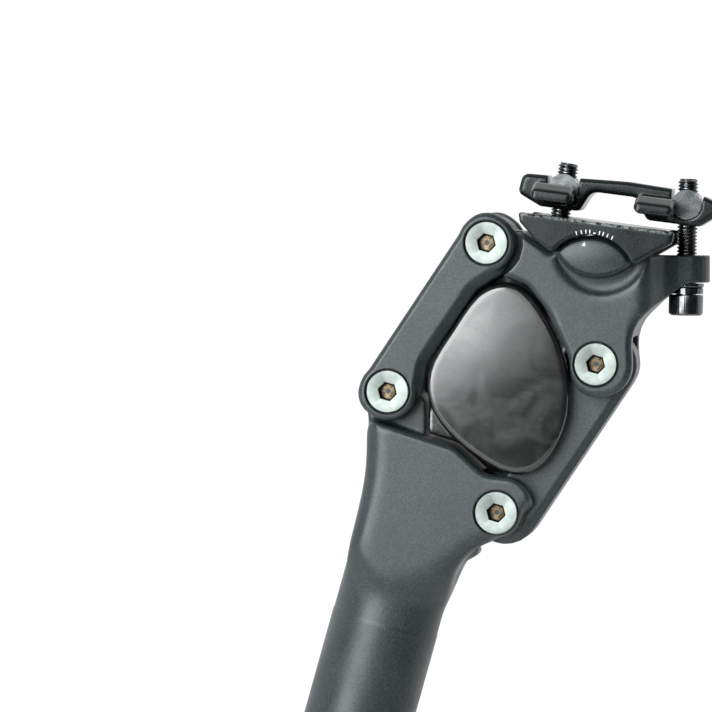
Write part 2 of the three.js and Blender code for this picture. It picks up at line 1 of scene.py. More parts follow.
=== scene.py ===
"""Looks of the suspension seatpost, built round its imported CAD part.

Lengths are in millimetres up to the helpers, which turn them into the frame's metres. The level frame
has x to the rear of the bicycle and z straight up, with its origin at the lower front pivot; the post
leans back in it. The clamp frame has x along the saddle rails, with its origin on the tilt axis.
"""

import json
import math

import bmesh
import bpy
import numpy as np
from mathutils import Matrix, Vector


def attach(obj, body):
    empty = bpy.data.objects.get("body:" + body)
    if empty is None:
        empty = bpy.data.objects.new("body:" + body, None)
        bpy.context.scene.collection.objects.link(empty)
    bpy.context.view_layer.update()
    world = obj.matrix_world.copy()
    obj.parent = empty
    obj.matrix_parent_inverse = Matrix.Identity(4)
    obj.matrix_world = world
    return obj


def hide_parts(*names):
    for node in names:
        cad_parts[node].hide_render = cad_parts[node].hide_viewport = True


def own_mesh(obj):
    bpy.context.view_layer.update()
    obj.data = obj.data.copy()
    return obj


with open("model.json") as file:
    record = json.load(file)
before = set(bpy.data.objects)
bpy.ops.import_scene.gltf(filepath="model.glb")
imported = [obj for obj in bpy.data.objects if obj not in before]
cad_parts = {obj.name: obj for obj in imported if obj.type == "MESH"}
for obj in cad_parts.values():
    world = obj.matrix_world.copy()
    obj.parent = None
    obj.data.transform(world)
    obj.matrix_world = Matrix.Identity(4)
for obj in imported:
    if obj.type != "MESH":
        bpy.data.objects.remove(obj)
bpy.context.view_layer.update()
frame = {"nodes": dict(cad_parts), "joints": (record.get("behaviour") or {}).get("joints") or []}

# ---------------------------------------------------------------- places, from the frame

MM = 0.001
POST_LEAN = math.radians(15.6)
RAIL_SLOPE = math.radians(7.4)

JOINTS = {joint["name"]: joint for joint in frame["joints"]}


def pivot(joint):
    return Vector(JOINTS[joint]["pos_m"])


FRONT_LOWER = pivot("suspension_travel")
FRONT_UPPER = pivot("head_on_front_link")
REAR_LOWER = pivot("rear_link_swing")
REAR_UPPER = REAR_LOWER + FRONT_UPPER - FRONT_LOWER
TILT_AXIS = pivot("clamp_tilt")

SIDEWAYS = Vector((0, 1, 0))
LEVEL_REAR = Vector((math.cos(POST_LEAN), 0, math.sin(POST_LEAN)))
LEVEL_UP = Vector((-math.sin(POST_LEAN), 0, math.cos(POST_LEAN)))
RAIL_ALONG = Vector((math.cos(POST_LEAN - RAIL_SLOPE), 0, math.sin(POST_LEAN - RAIL_SLOPE)))
RAIL_UP = Vector((-math.sin(POST_LEAN - RAIL_SLOPE), 0, math.cos(POST_LEAN - RAIL_SLOPE)))


def level(x, z, y=0.0):
    return FRONT_LOWER + (LEVEL_REAR * x + LEVEL_UP * z + SIDEWAYS * y) * MM


def clamp(x, z, y=0.0):
    return TILT_AXIS + (RAIL_ALONG * x + RAIL_UP * z + SIDEWAYS * y) * MM


# ---------------------------------------------------------------- node helpers


def shader(name):
    """A new material: its node tree, and the node that colours it."""
    material = bpy.data.materials.new(name)
    material.use_nodes = True
    tree = material.node_tree
    return material, tree, tree.nodes["Principled BSDF"]


def node(tree, kind, **values):
    """A node with its sockets and settings filled in. A socket's name is written with underscores."""
    made = tree.nodes.new(kind)
    for key, value in values.items():
        socket = key.replace("_", " ")
        if socket in made.inputs:
            made.inputs[socket].default_value = value
        else:
            setattr(made, key, value)
    return made


def place(tree):
    return node(tree, "ShaderNodeTexCoord").outputs["Object"]


def noise(tree, size, detail=3.0, roughness=0.5, distortion=0.0, stretch=None):
    """Noise whose features are about the given size in millimetres, stretched along the axes if asked."""
    made = node(tree, "ShaderNodeTexNoise", Scale=1 / (size * MM), Detail=detail, Roughness=roughness)
    made.inputs["Distortion"].default_value = distortion
    where = place(tree)
    if stretch:
        mapping = node(tree, "ShaderNodeMapping")
        mapping.inputs["Scale"].default_value = stretch
        tree.links.new(where, mapping.inputs["Vector"])
        where = mapping.outputs["Vector"]
    tree.links.new(where, made.inputs["Vector"])
    return made.outputs["Fac"]


def ramp(tree, value, stops):
    """Colours or greys along a value from 0 to 1."""
    made = node(tree, "ShaderNodeValToRGB")
    elements = made.color_ramp.elements
    while len(elements) < len(stops):
        elements.new(0.5)
    for element, (position, colour) in zip(elements, stops):
        if isinstance(colour, (int, float)):
            colour = (colour, colour, colour)
        element.position = position
        element.color = (*colour, 1)
    tree.links.new(value, made.inputs["Fac"])
    return made.outputs["Color"]


def mixed(tree, factor, first, second, mode="MIX"):
    """Two colours mixed by a factor. Each may be a socket, a colour or a number."""
    made = node(tree, "ShaderNodeMix", data_type="RGBA", blend_type=mode)
    for socket, value in ((made.inputs[0], factor), (made.inputs[6], first), (made.inputs[7], second)):
        if isinstance(value, bpy.types.NodeSocket):
            tree.links.new(value, socket)
        elif isinstance(value, tuple):
            socket.default_value = (*value, 1)
        else:
            socket.default_value = value
    return made.outputs[2]


def maths(tree, operation, *values):
    """A sum on sockets or numbers."""
    made = node(tree, "ShaderNodeMath", operation=operation)
    for socket, value in zip(made.inputs, values):
        if isinstance(value, bpy.types.NodeSocket):
            tree.links.new(value, socket)
        else:
            socket.default_value = value
    return made.outputs["Value"]


def bumps(tree, surface, *layers):
    """Stacks bump layers, each (height socket, depth in mm), onto a surface's normal."""
    normal = None
    for height, depth in layers:
        bump = node(tree, "ShaderNodeBump", Strength=1.0, Distance=depth * MM)
        tree.links.new(height, bump.inputs["Height"])
        if normal:
            tree.links.new(normal, bump.inputs["Normal"])
        normal = bump.outputs["Normal"]
    tree.links.new(normal, surface.inputs["Normal"])


def attribute(tree, name):
    return node(tree, "ShaderNodeAttribute", attribute_name=name).outputs["Fac"]


# ---------------------------------------------------------------- materials


def forged_finish(name, dark, light, roughness, shine=0.6, grain_depth=0.012):
    """Satin anodising over a blasted forging: fine pale grain, faint clouds and a few rubbed patches."""
    material, tree, surface = shader(name)
    grain = ramp(tree, noise(tree, 0.55, detail=4, roughness=0.8), [(0.42, dark), (0.62, light)])
    clouds = ramp(tree, noise(tree, 14, detail=3), [(0.35, 0.82), (0.7, 1.12)])
    tree.links.new(mixed(tree, 1.0, grain, clouds, "MULTIPLY"), surface.inputs["Base Color"])
    patches = noise(tree, 9, detail=5, roughness=0.65)
    rubbed_rough = ramp(tree, patches, [(0.3, roughness - 0.05), (0.75, roughness + 0.08)])
    tree.links.new(rubbed_rough, surface.inputs["Roughness"])
    surface.inputs["Specular IOR Level"].default_value = shine
    bumps(tree, surface, (noise(tree, 0.35, detail=2), grain_depth), (noise(tree, 3.0, detail=2), 0.01))
    return material


def worn_finish(name, dark, light, roughness):
    """Black clamp finish with bright metal where the attribute "wear" says that an edge is rubbed."""
    material = forged_finish(name, dark, light, roughness, shine=0.35, grain_depth=0.003)
    tree = material.node_tree
    surface = tree.nodes["Principled BSDF"]
    base = surface.inputs["Base Color"].links[0].from_socket
    breaks = ramp(tree, noise(tree, 1.1, detail=4, roughness=0.7), [(0.42, 0.0), (0.58, 1.0)])
    rubbed = maths(tree, "MULTIPLY", attribute(tree, "wear"), breaks)
    tree.links.new(mixed(tree, rubbed, base, (0.62, 0.66, 0.66)), surface.inputs["Base Color"])
    tree.links.new(rubbed, surface.inputs["Metallic"])
    return material


def turned_finish():
    """Fine turned steel: rings about the piece's own axis. The attribute "socket" marks its hexagonal
    hollow, which is coloured near black as painted shade.
    """
    material, tree, surface = shader("turned_steel")
    rings = node(tree, "ShaderNodeTexWave", wave_type="RINGS", rings_direction="Z", Scale=900.0)
    rings.inputs["Distortion"].default_value = 0.4
    tree.links.new(place(tree), rings.inputs["Vector"])
    clouds = ramp(tree, noise(tree, 2.5, detail=3), [(0.3, (0.24, 0.27, 0.255)), (0.7, (0.32, 0.35, 0.33))])
    # Painted shade: where the attribute "socket" is 1, the base colour is near black and stands in for the
    # shade inside the hollow.
    tone = mixed(tree, attribute(tree, "socket"), clouds, (0.022, 0.02, 0.018))
    tree.links.new(tone, surface.inputs["Base Color"])
    surface.inputs["Metallic"].default_value = 1.0
    surface.inputs["Roughness"].default_value = 0.46
    surface.inputs["Anisotropic"].default_value = 0.45
    tangent = node(tree, "ShaderNodeTangent", direction_type="RADIAL", axis="Z")
    tree.links.new(tangent.outputs["Tangent"], surface.inputs["Tangent"])
    bumps(tree, surface, (rings.outputs["Fac"], 0.008))
    return material


def bronze_finish():
    material, tree, surface = shader("bronze")
    tone = ramp(tree, noise(tree, 1.2, detail=3), [(0.35, (0.07, 0.055, 0.035)), (0.65, (0.27, 0.2, 0.13))])
    tree.links.new(tone, surface.inputs["Base Color"])
    surface.inputs["Metallic"].default_value = 1.0
    surface.inputs["Roughness"].default_value = 0.3
    bumps(tree, surface, (noise(tree, 0.4, detail=2), 0.006))
    return material


def rubber_finish():
    """Smooth black rubber with wiped pale smudges, curved scuffs and specks of dust."""
    material, tree, surface = shader("elastomer_rubber")
    smudge = ramp(tree, noise(tree, 13, detail=5, roughness=0.6, distortion=1.2), [(0.45, 0.0), (0.8, 1.0)])
    scuff_lines = noise(tree, 9, detail=6, roughness=0.75, distortion=2.5, stretch=(1, 1, 3.2))
    scuffs = ramp(tree, scuff_lines, [(0.6, 0.0), (0.66, 0.55), (0.7, 0.0)])
    speck_spacing = 1.5 * MM
    specks = node(tree, "ShaderNodeTexVoronoi", Scale=1 / speck_spacing, Randomness=1.0)
    tree.links.new(place(tree), specks.inputs["Vector"])
    dust = ramp(tree, specks.outputs["Distance"], [(0.0, 1.0), (0.085, 0.0)])
    sparse = ramp(tree, noise(tree, 6, detail=2), [(0.52, 0.0), (0.62, 1.0)])
    dust = maths(tree, "MULTIPLY", dust, sparse)
    base = mixed(tree, smudge, (0.006, 0.0065, 0.0065), (0.016, 0.017, 0.017))
    base = mixed(tree, maths(tree, "MULTIPLY", scuffs, 0.4), base, (0.16, 0.165, 0.17))
    base = mixed(tree, maths(tree, "MULTIPLY", dust, 0.6), base, (0.3, 0.3, 0.3))
    tree.links.new(base, surface.inputs["Base Color"])
    rough = ramp(tree, smudge, [(0.0, 0.17), (1.0, 0.27)])
    tree.links.new(rough, surface.inputs["Roughness"])
    surface.inputs["Specular IOR Level"].default_value = 1.0
    bumps(tree, surface, (noise(tree, 12, detail=1), 0.05), (noise(tree, 1.6, detail=2), 0.0002))
    return material


def plain_finish(name, dark, light, roughness, metallic, size=0.8, depth=0.008):
    """A simple finish with fine colour variation and a fine bump."""
    material, tree, surface = shader(name)
    tree.links.new(ramp(tree, noise(tree, size, detail=3), [(0.35, dark), (0.7, light)]),
                   surface.inputs["Base Color"])
    surface.inputs["Metallic"].default_value = metallic
    surface.inputs["Roughness"].default_value = roughness
    bumps(tree, surface, (noise(tree, 0.3, detail=2), depth))
    return material


FORGED = forged_finish("forged_alloy", (0.009, 0.013, 0.014), (0.036, 0.046, 0.050), 0.4)
CLAMP = worn_finish("clamp_alloy", (0.004, 0.006, 0.006), (0.010, 0.013, 0.013), 0.2)
BLACK_STEEL = plain_finish(
    "black_steel", (0.10, 0.105, 0.11), (0.20, 0.205, 0.21), 0.22, 1.0, size=2.5, depth=0.001
)
TURNED = turned_finish()
BRONZE = bronze_finish()
BUSH = plain_finish("bush_plastic", (0.06, 0.06, 0.058), (0.1, 0.1, 0.096), 0.6, 0.0)
RUBBER = rubber_finish()
PAINT = plain_finish("white_marks", (0.7, 0.72, 0.72), (0.85, 0.87, 0.87), 0.5, 0.0)


# ---------------------------------------------------------------- mesh helpers


def add_piece(name, mesh, body, material, replaced=(), smooth_angle=30, matrix=None):
    """Puts a mesh in the scene as a piece: place, finish, body and the CAD nodes it stands for."""
    obj = bpy.data.objects.new(name, mesh)
    bpy.context.scene.collection.objects.link(obj)
    mesh.materials.clear()
    mesh.materials.append(material)
    mesh.shade_smooth()
    if smooth_angle:
        mesh.set_sharp_from_angle(angle=math.radians(smooth_angle))
    if matrix is not None:
        obj.matrix_world = matrix
    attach(obj, body)
    if replaced:
        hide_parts(*replaced)
    return obj


def from_bmesh(name, bm):
    mesh = bpy.data.meshes.new(name)
    bm.to_mesh(mesh)
    bm.free()
    return mesh


def lathe(profile, sides=96):
    """A closed surface of revolution about Z from (radius, height) points in mm, axis to axis or a loop."""
    bm = bmesh.new()
    rings = []
    for radius, height in profile:
        if radius == 0:
            rings.append([bm.verts.new((0, 0, height * MM))])
            continue
        rings.append([
            bm.verts.new((radius * MM * math.cos(a), radius * MM * math.sin(a), height * MM))
            for a in (2 * math.pi * k / sides for k in range(sides))
        ])
    pairs = list(zip(rings, rings[1:]))
    if profile[0][0] > 0:
        pairs.append((rings[-1], rings[0]))
    for low, high in pairs:
        for k in range(sides):
            n = (k + 1) % sides
            if len(low) == 1 and len(high) == 1:
                continue
            if len(low) == 1:
                bm.faces.new((low[0], high[n], high[k]))
            elif len(high) == 1:
                bm.faces.new((low[k], low[n], high[0]))
            else:
                bm.faces.new((low[k], low[n], high[n], high[k]))
    bmesh.ops.recalc_face_normals(bm, faces=bm.faces)
    return bm


def points_of(mesh):
    points = np.empty(len(mesh.vertices) * 3)
    mesh.vertices.foreach_get("co", points)
    return points.reshape(-1, 3)


def set_points(mesh, points):
    mesh.vertices.foreach_set("co", points.ravel())
    mesh.update()


def mark_points(mesh, name, values):
    """Keeps a value for each point, for a finish to read."""
    layer = mesh.attributes.new(name, "FLOAT", "POINT")
    layer.data.foreach_set("value", values.astype(np.float32))


def axis_matrix(centre, up):
    """Places a piece that is drawn about the origin with +Z up."""
    return Matrix.Translation(centre) @ Vector((0, 0, 1)).rotation_difference(up).to_matrix().to_4x4()


def scratch(mesh):
    """A temporary object, for modifiers and booleans."""
    obj = bpy.data.objects.new("scratch", mesh)
    bpy.context.scene.collection.objects.link(obj)
    return obj


def finished_mesh(obj, name):
    """The object's mesh with its modifiers applied; the object is removed."""
    graph = bpy.context.evaluated_depsgraph_get()
    mesh = bpy.data.meshes.new_from_object(obj.evaluated_get(graph))
    mesh.name = name
    bpy.data.objects.remove(obj)
    return mesh


def cut_away(mesh, cutters, name):
    """Cuts each cutter mesh out of a mesh."""
    obj = scratch(mesh)
    tools = [scratch(cutter) for cutter in cutters]
    for tool in tools:
        modifier = obj.modifiers.new("cut", "BOOLEAN")
        modifier.object = tool
        modifier.operation = "DIFFERENCE"
        modifier.solver = "EXACT"
    result = finished_mesh(obj, name)
    for tool in tools:
        bpy.data.objects.remove(tool)
    return result


# ---------------------------------------------------------------- forgings

FACE = 18.0
POCKET_FLOOR = 15.0
POCKET_RADIUS = 6.55
PLUG_FLOOR = 12.5
PLUG_RADIUS = 7.4


def at_both_ends(centres, profile, sides):
    """A turned solid about each pivot's axis, on both sides of the seatpost."""
    solids = []
    for centre in centres:
        for side in (-1, 1):
            turned = lathe(profile, sides)
            turned.transform(axis_matrix(centre, SIDEWAYS * side))
            solids.append(from_bmesh("turned", turned))
    return solids


def pocket_plugs(centres):
    """Discs that fill the cap pockets, so that a forging can be smoothed before the pockets are cut."""
    r, floor, top = PLUG_RADIUS, PLUG_FLOOR, FACE - 0.02
    return at_both_ends(centres, [(0, floor), (r, floor), (r, top), (0, top)], 48)


def pocket_cutters(centres):
    """Crisp pockets for the screw caps, each with a small chamfer at its rim."""
    r = POCKET_RADIUS
    rim = r + 0.5
    clear = FACE + 3
    return at_both_ends(centres, [
        (0, POCKET_FLOOR), (r, POCKET_FLOOR), (r, FACE - 0.3), (rim, FACE + 0.2), (rim, clear), (0, clear),
    ], 96)


def joined(meshes):
    bm = bmesh.new()
    for mesh in meshes:
        bm.from_mesh(mesh)
    return from_bmesh("joined", bm)


def softened(mesh, voxel, rounds, name):
    """Rounds a faceted solid like a forging: a fine voxel skin, smoothed."""
    obj = scratch(mesh)
    remesh = obj.modifiers.new("skin", "REMESH")
    remesh.mode = "VOXEL"
    remesh.voxel_size = voxel * MM
    smooth = obj.modifiers.new("soft", "SMOOTH")
    smooth.factor = 0.5
    smooth.iterations = rounds
    return finished_mesh(obj, name)


def forging(name, node_name, body, material, voxel, rounds, pockets=(), shape=None):
    """A CAD node as a smooth forging with crisp cap pockets."""
    source = frame["nodes"][node_name].data.copy()
    mesh = softened(joined([source, *pocket_plugs(pockets)]), voxel, rounds, name)
    if shape:
        shape(mesh)
    if pockets:
        mesh = cut_away(mesh, pocket_cutters(pockets), name)
    return add_piece(name, mesh, body, material, [node_name], smooth_angle=38)


def melted(mesh, rounds, share):
    """Smooths a skin further, by a share from 0 to 1 for each of its points."""
    points = points_of(mesh)
    ends = np.empty(len(mesh.edges) * 2, dtype=np.int32)
    mesh.edges.foreach_get("vertices", ends)
    first, second = ends[0::2], ends[1::2]
    count = np.bincount(ends, minlength=len(points))
    for _ in range(rounds):
        for axis in range(3):
            value = points[:, axis]
            total = np.bincount(first, value[second], len(points))
            total += np.bincount(second, value[first], len(points))
            points[:, axis] += 0.5 * share * (total / count - value)
    set_points(mesh, points)


def band(values, low, high):
    """Rises smoothly from 0 at low to 1 at high."""
    t = np.clip((values - low) / (high - low), 0, 1)
    return t * t * (3 - 2 * t)


def level_parts(points):
    """The points' x and z in the level frame."""
    offset = points - np.array(FRONT_LOWER)
    return offset @ np.array(LEVEL_REAR) / MM, offset @ np.array(LEVEL_UP) / MM


def clamp_parts(points):
    """The points' x and z in the clamp frame."""
    offset = points - np.array(TILT_AXIS)
    return offset @ np.array(RAIL_ALONG) / MM, offset @ np.array(RAIL_UP) / MM


def run_out(mesh):
    """Lets the body's flat sides and flank flow into the tube, which itself stays true."""
    points = points_of(mesh)
    height = points[:, 2] / MM
    x, _ = level_parts(points)
    above_tube = band(height, 204, 216)
    sides = 1 - band(height, 238, 262)
    flank = (1 - band(x, -3, 1.5)) * (1 - band(height, 262, 272))
    melted(mesh, 90, above_tube * np.maximum(sides, flank))
    true_tube(mesh)


def boss_crown(x, z):
    """How far the lens-shaped boss bulges, in mm, at a point of the clamp frame."""
    crown, half_length, half_height, middle = 1.3, 11.5, 6.4, 7.3
    return crown * np.clip(1 - (x / half_length) ** 2 - ((z - middle) / half_height) ** 2, 0, 1)


def seat_boss(mesh):
    """Softens the valley under the seat's lens-shaped ends, and crowns the ends."""
    points = points_of(mesh)
    x, z = clamp_parts(points)
    across = np.abs(points[:, 1]) / MM
    round_valley = 1 - band(np.hypot(x - 2, z - 3), 15, 20)
    below_seat = 1 - band(z, 4, 8)
    within_faces = 1 - band(across, FACE + 0.2, FACE + 0.8)
    melted(mesh, 50, round_valley * within_faces * below_seat)
    points = points_of(mesh)
    x, z = clamp_parts(points)
    across = np.abs(points[:, 1]) / MM
    points[:, 1] += np.sign(points[:, 1]) * boss_crown(x, z) * band(across, 20.8, 21.6) * MM
    set_points(mesh, points)


def true_tube(mesh):
    """Brings the plain part of the post back to true cylinders, inside and out."""
    outer, inner, end, top = 15.8 * MM, 13.5 * MM, 1.5 * MM, 212 * MM
    points = points_of(mesh)
    radius = np.hypot(points[:, 0], points[:, 1])
    plain = (points[:, 2] > end) & (points[:, 2] < top)
    outside = radius > 15 * MM
    inside = (radius > 12.8 * MM) & (radius < 14.2 * MM)
    for true, skin in ((outer, outside), (inner, inside)):
        chosen = plain & skin
        points[chosen, :2] *= (true / radius[chosen])[:, None]
    set_points(mesh, points)


def wear_along_lips(mesh):
    """Marks the cradle's upper outer edges, where saddle rails and tools rub it."""
    points = points_of(mesh)
    along, height = clamp_parts(points)
    across = np.abs(points[:, 1]) / MM
    lip_height, lip_across, lip_end, reach = 17.2, 26.0, 22.5, 0.7
    to_lip = np.hypot(height - lip_height, across - lip_across)
    ends = np.clip((lip_end - np.abs(along)) / 2, 0, 1)
    wear = np.clip(1.25 - to_lip / reach, 0, 1) * ends
    mark_points(mesh, "wear", wear)


# Piece, CAD node, body, finish, voxel in mm, rounds of smoothing, pivots with pockets, and extra shaping
forging("post", "post_body", "post", FORGED, 0.5, 7, [REAR_LOWER], run_out)
forging("front_link_arm", "front_link", "front_link", FORGED, 0.36, 6, [FRONT_LOWER, FRONT_UPPER])
forging("rear_link_arm", "rear_link", "rear_link", FORGED, 0.4, 7)
forging("head_forging", "head", "head", FORGED, 0.36, 8, [REAR_UPPER], seat_boss)
forging("cradle", "lower_cradle", "clamp", CLAMP, 0.28, 5, shape=wear_along_lips)
forging("top_clamp", "upper_clamp", "clamp", CLAMP, 0.28, 6)

# ---------------------------------------------------------------- pivot hardware

PIVOTS = {
    "front_lower": (FRONT_LOWER, "front_link", "post"),
    "front_upper": (FRONT_UPPER, "front_link", "head"),
    "rear_lower": (REAR_LOWER, "post", "rear_link"),
    "rear_upper": (REAR_UPPER, "head", "rear_link"),
}


def hex_prism(across_flats, low, high, mouth):
    """A hexagonal prism that widens at its mouth, where a socket opens towards high."""
    r = across_flats / math.sqrt(3)
    wide = r + 0.6
    outward = math.copysign(1, high - low)
    inner_end, outer_end = mouth - 0.5 * outward, mouth + 0.05 * outward
    return lathe([(0, low), (r, low), (r, inner_end), (wide, outer_end), (wide, high), (0, high)], 6)


def socketed(profile, across_flats, low, high, mouth, sides=96, bevel=0.1):
    """A turned solid with a hexagonal socket, its edges lightly broken."""
    obj = scratch(from_bmesh("turned", lathe(profile, sides)))
    tool = scratch(from_bmesh("hexagon", hex_prism(across_flats, low, high, mouth)))
    modifier = obj.modifiers.new("socket", "BOOLEAN")
    modifier.object = tool
    modifier.solver = "EXACT"
    edges = obj.modifiers.new("edges", "BEVEL")
    edges.width = bevel * MM
    edges.segments = 2
    edges.angle_limit = math.radians(40)
    mesh = finished_mesh(obj, "socketed")
    bpy.data.objects.remove(tool)
    return mesh


def hardware(name, mesh, centre, up, body, material, replaced):
    """A turned piece that keeps its own origin, so that its finish runs round its axis."""
    return add_piece(name, mesh, body, material, [replaced], matrix=axis_matrix(centre, up))


def cap_mesh():
    face, back, r, across_flats = 17.75, 15.35, 6.25, 4.1
    profile = [(0, back), (r, back), (r, face - 0.25), (r - 0.3, face), (0, face)]
    mesh = socketed(profile, across_flats, 10, 30, face)
    # The points inside the hexagonal hollow, which the finish colours near black as painted shade.
    points = points_of(mesh)
    inside = (np.hypot(points[:, 0], points[:, 1]) < 3.2 * MM) & (points[:, 2] < (face - 0.02) * MM)
    mark_points(mesh, "socket", inside)
    return mesh


def axle_mesh():
    """A plain axle, chamfered, with a small centre hole in each end."""
    end, r = 15.2, 5.0
    right = [(r, end - 0.4), (r - 0.4, end), (0.75, end), (0.55, end - 0.8), (0, end - 1.3)]
    left = [(radius, -height) for radius, height in reversed(right)]
    return from_bmesh("axle", lathe(left + right, 64))


def bush_mesh():
    """A bush with a thin flange, its rim chamfered."""
    bore, r, flange, start, end = 5.3, 6.0, 7.6, 1.5, 11.0
    return from_bmesh("bush", lathe([
        (bore, start), (r, start), (r, end - 0.7), (flange - 0.2, end - 0.7), (flange, end - 0.5),
        (flange, end - 0.2), (flange - 0.2, end), (bore, end),
    ], 64))


for where, (centre, outer_body, inner_body) in PIVOTS.items():
    hardware(f"pivot_axle_{where}", axle_mesh(), centre, SIDEWAYS, outer_body, BRONZE, f"axle_{where}")
    for side_name, side in (("left", -1), ("right", 1)):
        tag = f"{side_name}_{where}"
        out = SIDEWAYS * side
        hardware(f"screw_cap_{tag}", cap_mesh(), centre, out, outer_body, TURNED, f"cap_{tag}")
        hardware(f"flanged_bush_{tag}", bush_mesh(), centre, out, inner_body, BUSH, f"bush_{tag}")

# ---------------------------------------------------------------- clamp bolts

PITCH = 1.0
THREAD_CREST = 2.95
THREAD_ROOT = 2.4
SHANK_END = 4.0
WASHER_STACK = 3.6
PAST_NUT = 7.5

# Where each bolt's washers sit and where its barrel nut is, in the clamp frame
SEATS = {"front": ((-13, 3.8), (-12.2, 25.3)), "rear": ((26.4, 2.9), (23.9, 25.3))}


def thread_radius(height, turn, end):
    """The thread's flank, crest or root at a height and a share of a turn, tapered at the bar's end."""
    phase = (height / PITCH - turn) % 1.0
    ridge = min(1.0, max(0.0, 1.7 * (1 - abs(2 * phase - 1)) - 0.25))
    radius = THREAD_ROOT + (THREAD_CREST - THREAD_ROOT) * ridge
    if height < SHANK_END:
        radius = THREAD_CREST
    taper = 0.8
    if end - height < taper:
        radius = min(radius, THREAD_CREST - (taper - (end - height)) * 0.8)
    return radius


def threaded_bar(low, high):
    """A bar about Z with a helical thread up to high and a plain shank below it."""
    around, per_pitch = 40, 10
    steps = int((high - low) / PITCH * per_pitch)
    bm = bmesh.new()
    rings = []
    for i in range(steps + 1):
        height = low + (high - low) * i / steps
        ring = []
        for k in range(around):
            turn = k / around
            angle = 2 * math.pi * turn
            radius = thread_radius(height, turn, high) * MM
            ring.append(bm.verts.new((radius * math.cos(angle), radius * math.sin(angle), height * MM)))
        rings.append(ring)
    for lower, upper in zip(rings, rings[1:]):
        for k in range(around):
            n = (k + 1) % around
            bm.faces.new((lower[k], lower[n], upper[n], upper[k]))
    bm.faces.new(list(reversed(rings[0])))
    bm.faces.new(rings[-1])
    return bm


def bolt_head(under):
    """A socket head with a finely fluted side."""
    low, r, across_flats, flutes, flute_depth = under - 6.0, 5.0, 5.0, 48, 0.012
    profile = [
        (0, low), (r - 0.6, low), (r - 0.1, low + 0.5), (r, low + 1), (r, under - 0.6), (r - 0.15, under),
        (0, under),
    ]
    mesh = socketed(profile, across_flats, low + 3, low - 5, low, sides=144, bevel=0.08)
    points = points_of(mesh)
    radius = np.hypot(points[:, 0], points[:, 1])
    angle = np.arctan2(points[:, 1], points[:, 0])
    height = points[:, 2]
    side = (radius > (r - 0.3) * MM) & (height > (low + 0.8) * MM) & (height < (under - 0.4) * MM)
    points[side, :2] *= (1 - flute_depth * (0.5 + 0.5 * np.cos(angle[side] * flutes)))[:, None]
    set_points(mesh, points)
    return mesh


def bolt_axis(seat, nut):
    """A bolt's seat, its direction, and how far its nut is, in mm."""
    base, end = clamp(*seat), clamp(*nut)
    return base, (end - base).normalized(), (end - base).length / MM


for where, (seat, nut) in SEATS.items():
    base, up, reach = bolt_axis(seat, nut)
    bar = from_bmesh("bar", threaded_bar(-WASHER_STACK - 0.5, reach + PAST_NUT))
    whole = joined([bar, bolt_head(-WASHER_STACK)])
    hardware(f"{where}_bolt", whole, base, up, f"{where}_bolt", BLACK_STEEL, f"{where}_clamp_bolt")
    for washer in ("dome", "cup"):
        frame["nodes"][f"{where}_{washer}_washer"].data.materials[0] = BLACK_STEEL
    nut_node = frame["nodes"][f"{where}_barrel_nut"]
    nut_node.data.materials[0] = BLACK_STEEL
    edges = nut_node.modifiers.new("edges", "BEVEL")
    edges.width = 0.3 * MM
    edges.segments = 2

# ---------------------------------------------------------------- elastomer


def domed(mesh):
    """Crowns the elastomer's two side faces, and brings the top of its core up behind them as a dark fill
    that stands in for the shade in the gap between the head and the elastomer.
    """
    centre, crown, reach, shade_fill_rise = level(33.5, 1), 1.1 * MM, 30 * MM, 3.2
    points = points_of(mesh)
    offset = points - np.array(centre)
    far = np.hypot(offset[:, 0], offset[:, 2]) / reach
    outside = np.clip((np.abs(points[:, 1]) / MM - 13) / 3, 0, 1)
    points[:, 1] += np.sign(points[:, 1]) * outside * crown * (1 - np.clip(far, 0, 1) ** 2)
    # Painted shade: the core's top is raised so that dark rubber fills the gap under the head, where the
    # white backdrop would otherwise show through.
    _, height = level_parts(points)
    core = 1 - band(np.abs(points[:, 1]) / MM, 9.0, 9.8)
    points += (core * band(height, 22, 28) * shade_fill_rise * MM)[:, None] * np.array(LEVEL_UP)
    set_points(mesh, points)


elastomer = forging("elastomer_block", "elastomer", "post", RUBBER, 0.45, 8, shape=domed)
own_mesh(elastomer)

# ---------------------------------------------------------------- tilt scale


def mark(name, corners, heights, body):
    """A thin patch of paint on both side faces: (x, z) corners in the clamp frame, and their heights."""
    sunk, raised = -0.15, 0.04
    bm = bmesh.new()
    for side in (-1, 1):
        inner, outer = (
            [bm.verts.new(clamp(x, z, side * (y + lift))) for (x, z), y in zip(corners, heights)]
            for lift in (sunk, raised)
        )
        bm.faces.new(outer)
        bm.faces.new(list(reversed(inner)))
        for k in range(len(corners)):
            n = (k + 1) % len(corners)
            bm.faces.new((inner[k], inner[n], outer[n], outer[k]))
    bmesh.ops.recalc_face_normals(bm, faces=bm.faces)
    add_piece(name, from_bmesh(name, bm), body, PAINT, smooth_angle=0)


CRADLE_FACE = 26.0
TICK_ANGLES = (-21.2, -15.3, -10, -5.6, 5.6, 10, 15.3, 21.2)
POINTER = [(-3.4, 9.9), (-2.2, 9.9), (-2.8, 11.3)]
POINTER_BASE = 22.03


def radial_mark(name, angle, low, high, width):
    """A mark on the cradle along a radius from the tilt axis, between two distances from it."""
    a = math.radians(angle)
    along, out = (math.cos(a), -math.sin(a)), (math.sin(a), math.cos(a))
    corners = [
        (out[0] * r + along[0] * s * width / 2, out[1] * r + along[1] * s * width / 2)
        for r, s in ((low, -1), (low, 1), (high, 1), (high, -1))
    ]
    mark(name, corners, [CRADLE_FACE] * 4, "clamp")


